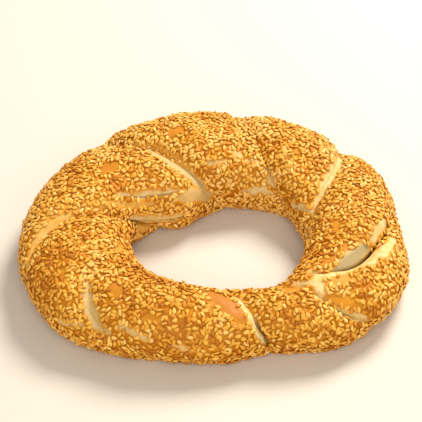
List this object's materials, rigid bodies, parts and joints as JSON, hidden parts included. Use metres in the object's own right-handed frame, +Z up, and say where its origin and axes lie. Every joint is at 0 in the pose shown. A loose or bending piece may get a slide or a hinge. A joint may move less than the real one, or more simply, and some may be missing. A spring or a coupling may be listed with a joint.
{
  "type": "simit bread ring",
  "caption": "Ring of baked bread, twisted from dough ropes and crusted with sesame seeds, lying flat on its underside.",
  "frame": {"origin": "middle of the ring's bounding box, on the flat underside it rests on", "axes": "+Z up out of the browned top, X along the ring's longer way across, +Y towards the ring's thicker side"},
  "size_m": [0.1704, 0.1574, 0.0342],
  "materials": {
    "crust": "baked golden crust, satin, with pale cream torn dough in the grooves",
    "sesame": "toasted sesame seeds, golden tan, slightly glossy"
  },
  "bodies": {
    "root": {"simit_ring": "crust"}
  },
  "joints": []
}
